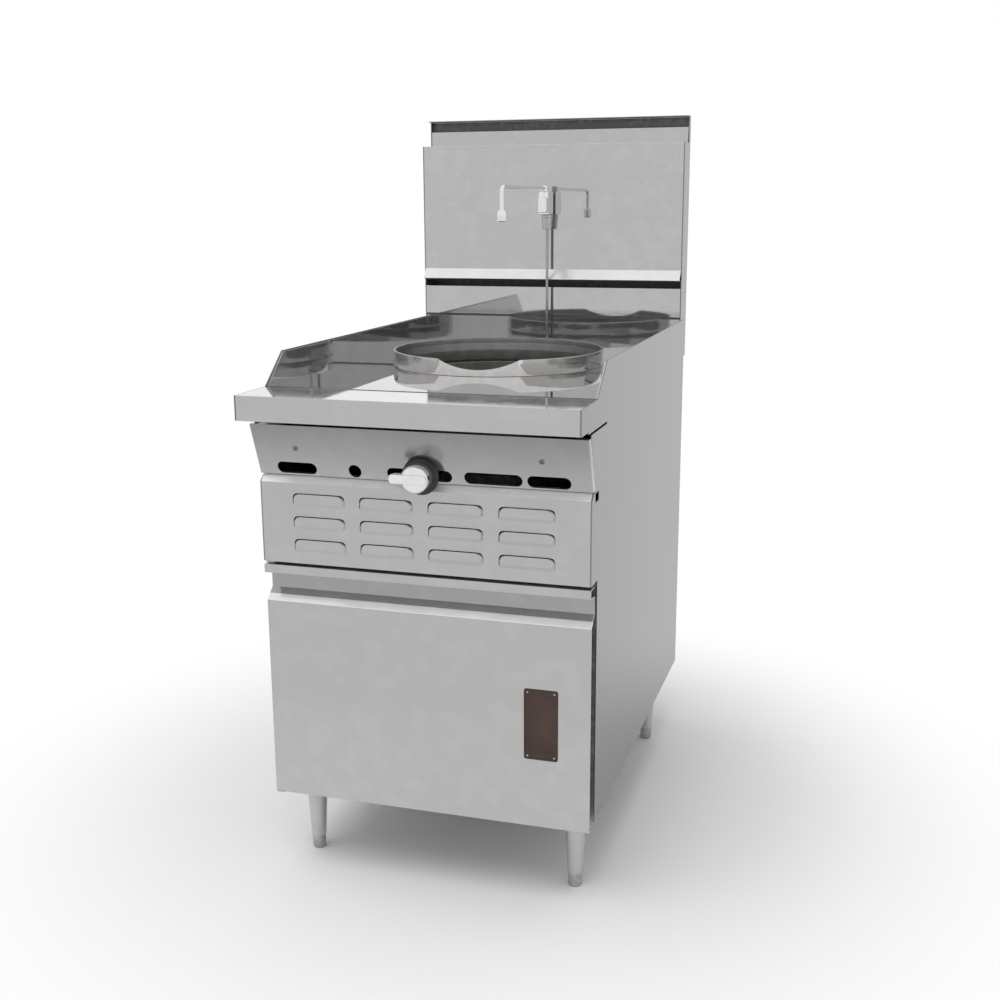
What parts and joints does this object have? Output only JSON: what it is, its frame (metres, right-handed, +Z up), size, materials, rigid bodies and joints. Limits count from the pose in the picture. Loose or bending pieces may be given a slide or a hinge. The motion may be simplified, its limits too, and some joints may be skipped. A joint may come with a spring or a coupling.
{
  "type": "wok range",
  "caption": "Free-standing gas wok range on legs: mirror deck with raised wok ring, swing faucet on a flue riser, louvered front, slanted control panel and cabinet door.",
  "frame": {"origin": "on the floor, under the middle of the range's outer box", "axes": "+Z up, -Y towards the cook at the front, +X to the right seen from the front"},
  "size_m": [0.61, 1.018, 1.424],
  "materials": {
    "satin_steel": "satin brushed stainless sheet",
    "mirror_steel": "bright polished stainless sheet",
    "ring_steel": "turned steel, lightly heat stained",
    "inner_steel": "dull galvanised and aluminised sheet",
    "chrome": "polished plating",
    "cast_iron": "raw casting",
    "brass": "machined",
    "black_iron": "black pipe",
    "refractory": "matt refractory",
    "black_enamel": "black enamel",
    "black_plastic": "moulded phenolic",
    "badge_brown": "dark brown enamel plate",
    "zinc": "zinc plated steel"
  },
  "bodies": {
    "range": {"side_panel_left": "satin_steel", "side_panel_right": "satin_steel", "back_panel": "satin_steel", "cabinet_floor": "inner_steel", "front_frame": "inner_steel", "cabinet_baffle": "inner_steel", "louver_panel": "satin_steel", "control_panel": "satin_steel", "front_rail": "satin_steel", "deck_pan": "mirror_steel", "wok_ring": "ring_steel", "chamber_shell": "inner_steel", "chamber_liner": "refractory", "flue_duct": "inner_steel", "riser_side_left": "satin_steel", "riser_side_right": "satin_steel", "riser_back": "satin_steel", "riser_front_upper": "mirror_steel", "riser_front_lower": "mirror_steel", "riser_cap": "satin_steel", "burner_head": "cast_iron", "burner_strap": "zinc", "venturi_tube": "cast_iron", "air_shutter": "zinc", "gas_orifice": "brass", "pilot_burner": "brass", "gas_manifold": "black_iron", "gas_elbow": "black_iron", "gas_pipe": "black_iron", "gas_valve": "brass", "supply_tube": "zinc", "pilot_valve": "brass", "pilot_tube": "zinc", "water_pipe": "chrome", "pipe_nut": "brass", "pipe_socket": "chrome", "faucet_body": "chrome", "hinge_top": "zinc", "hinge_bottom": "zinc", "magnet_catch": "black_plastic", "leg_front_left": "satin_steel", "leg_front_right": "satin_steel", "leg_rear_left": "satin_steel", "leg_rear_right": "satin_steel"},
    "door": {"door_skin": "satin_steel", "door_inner": "black_enamel", "strike_plate": "zinc", "badge_plate": "badge_brown"},
    "knob": {"control_knob": "chrome", "knob_skirt": "black_plastic", "valve_stem": "brass"},
    "spout": {"faucet_spout": "chrome", "spout_nozzle": "chrome"},
    "tap_handle": {"faucet_handle": "chrome"},
    "foot_front_left": {"foot_front_left": "inner_steel"},
    "foot_front_right": {"foot_front_right": "inner_steel"},
    "foot_rear_left": {"foot_rear_left": "inner_steel"},
    "foot_rear_right": {"foot_rear_right": "inner_steel"}
  },
  "joints": [
    {"name": "door_swing", "type": "hinge", "parent": "range", "child": "door", "pos_m": [-0.297, -0.414, 0.375], "axis": [0, 0, -1], "range_deg": [0, 110]},
    {"name": "knob_turn", "type": "hinge", "parent": "range", "child": "knob", "pos_m": [0.008, -0.449, 0.784], "axis": [0, -1, 0], "range_deg": [0, 90]},
    {"name": "spout_swing", "type": "hinge", "parent": "range", "child": "spout", "pos_m": [0, 0.3923, 1.269], "axis": [0, 0, 1], "range_deg": [-90, 90]},
    {"name": "tap_turn", "type": "hinge", "parent": "range", "child": "tap_handle", "pos_m": [0, 0.3742, 1.2328], "axis": [0, -1, 0], "range_deg": [0, 90]},
    {"name": "foot_front_left_level", "type": "slide", "parent": "range", "child": "foot_front_left", "axis": [0, 0, -1], "range_m": [0, 0.025]},
    {"name": "foot_front_right_level", "type": "slide", "parent": "range", "child": "foot_front_right", "axis": [0, 0, -1], "range_m": [0, 0.025]},
    {"name": "foot_rear_left_level", "type": "slide", "parent": "range", "child": "foot_rear_left", "axis": [0, 0, -1], "range_m": [0, 0.025]},
    {"name": "foot_rear_right_level", "type": "slide", "parent": "range", "child": "foot_rear_right", "axis": [0, 0, -1], "range_m": [0, 0.025]}
  ]
}
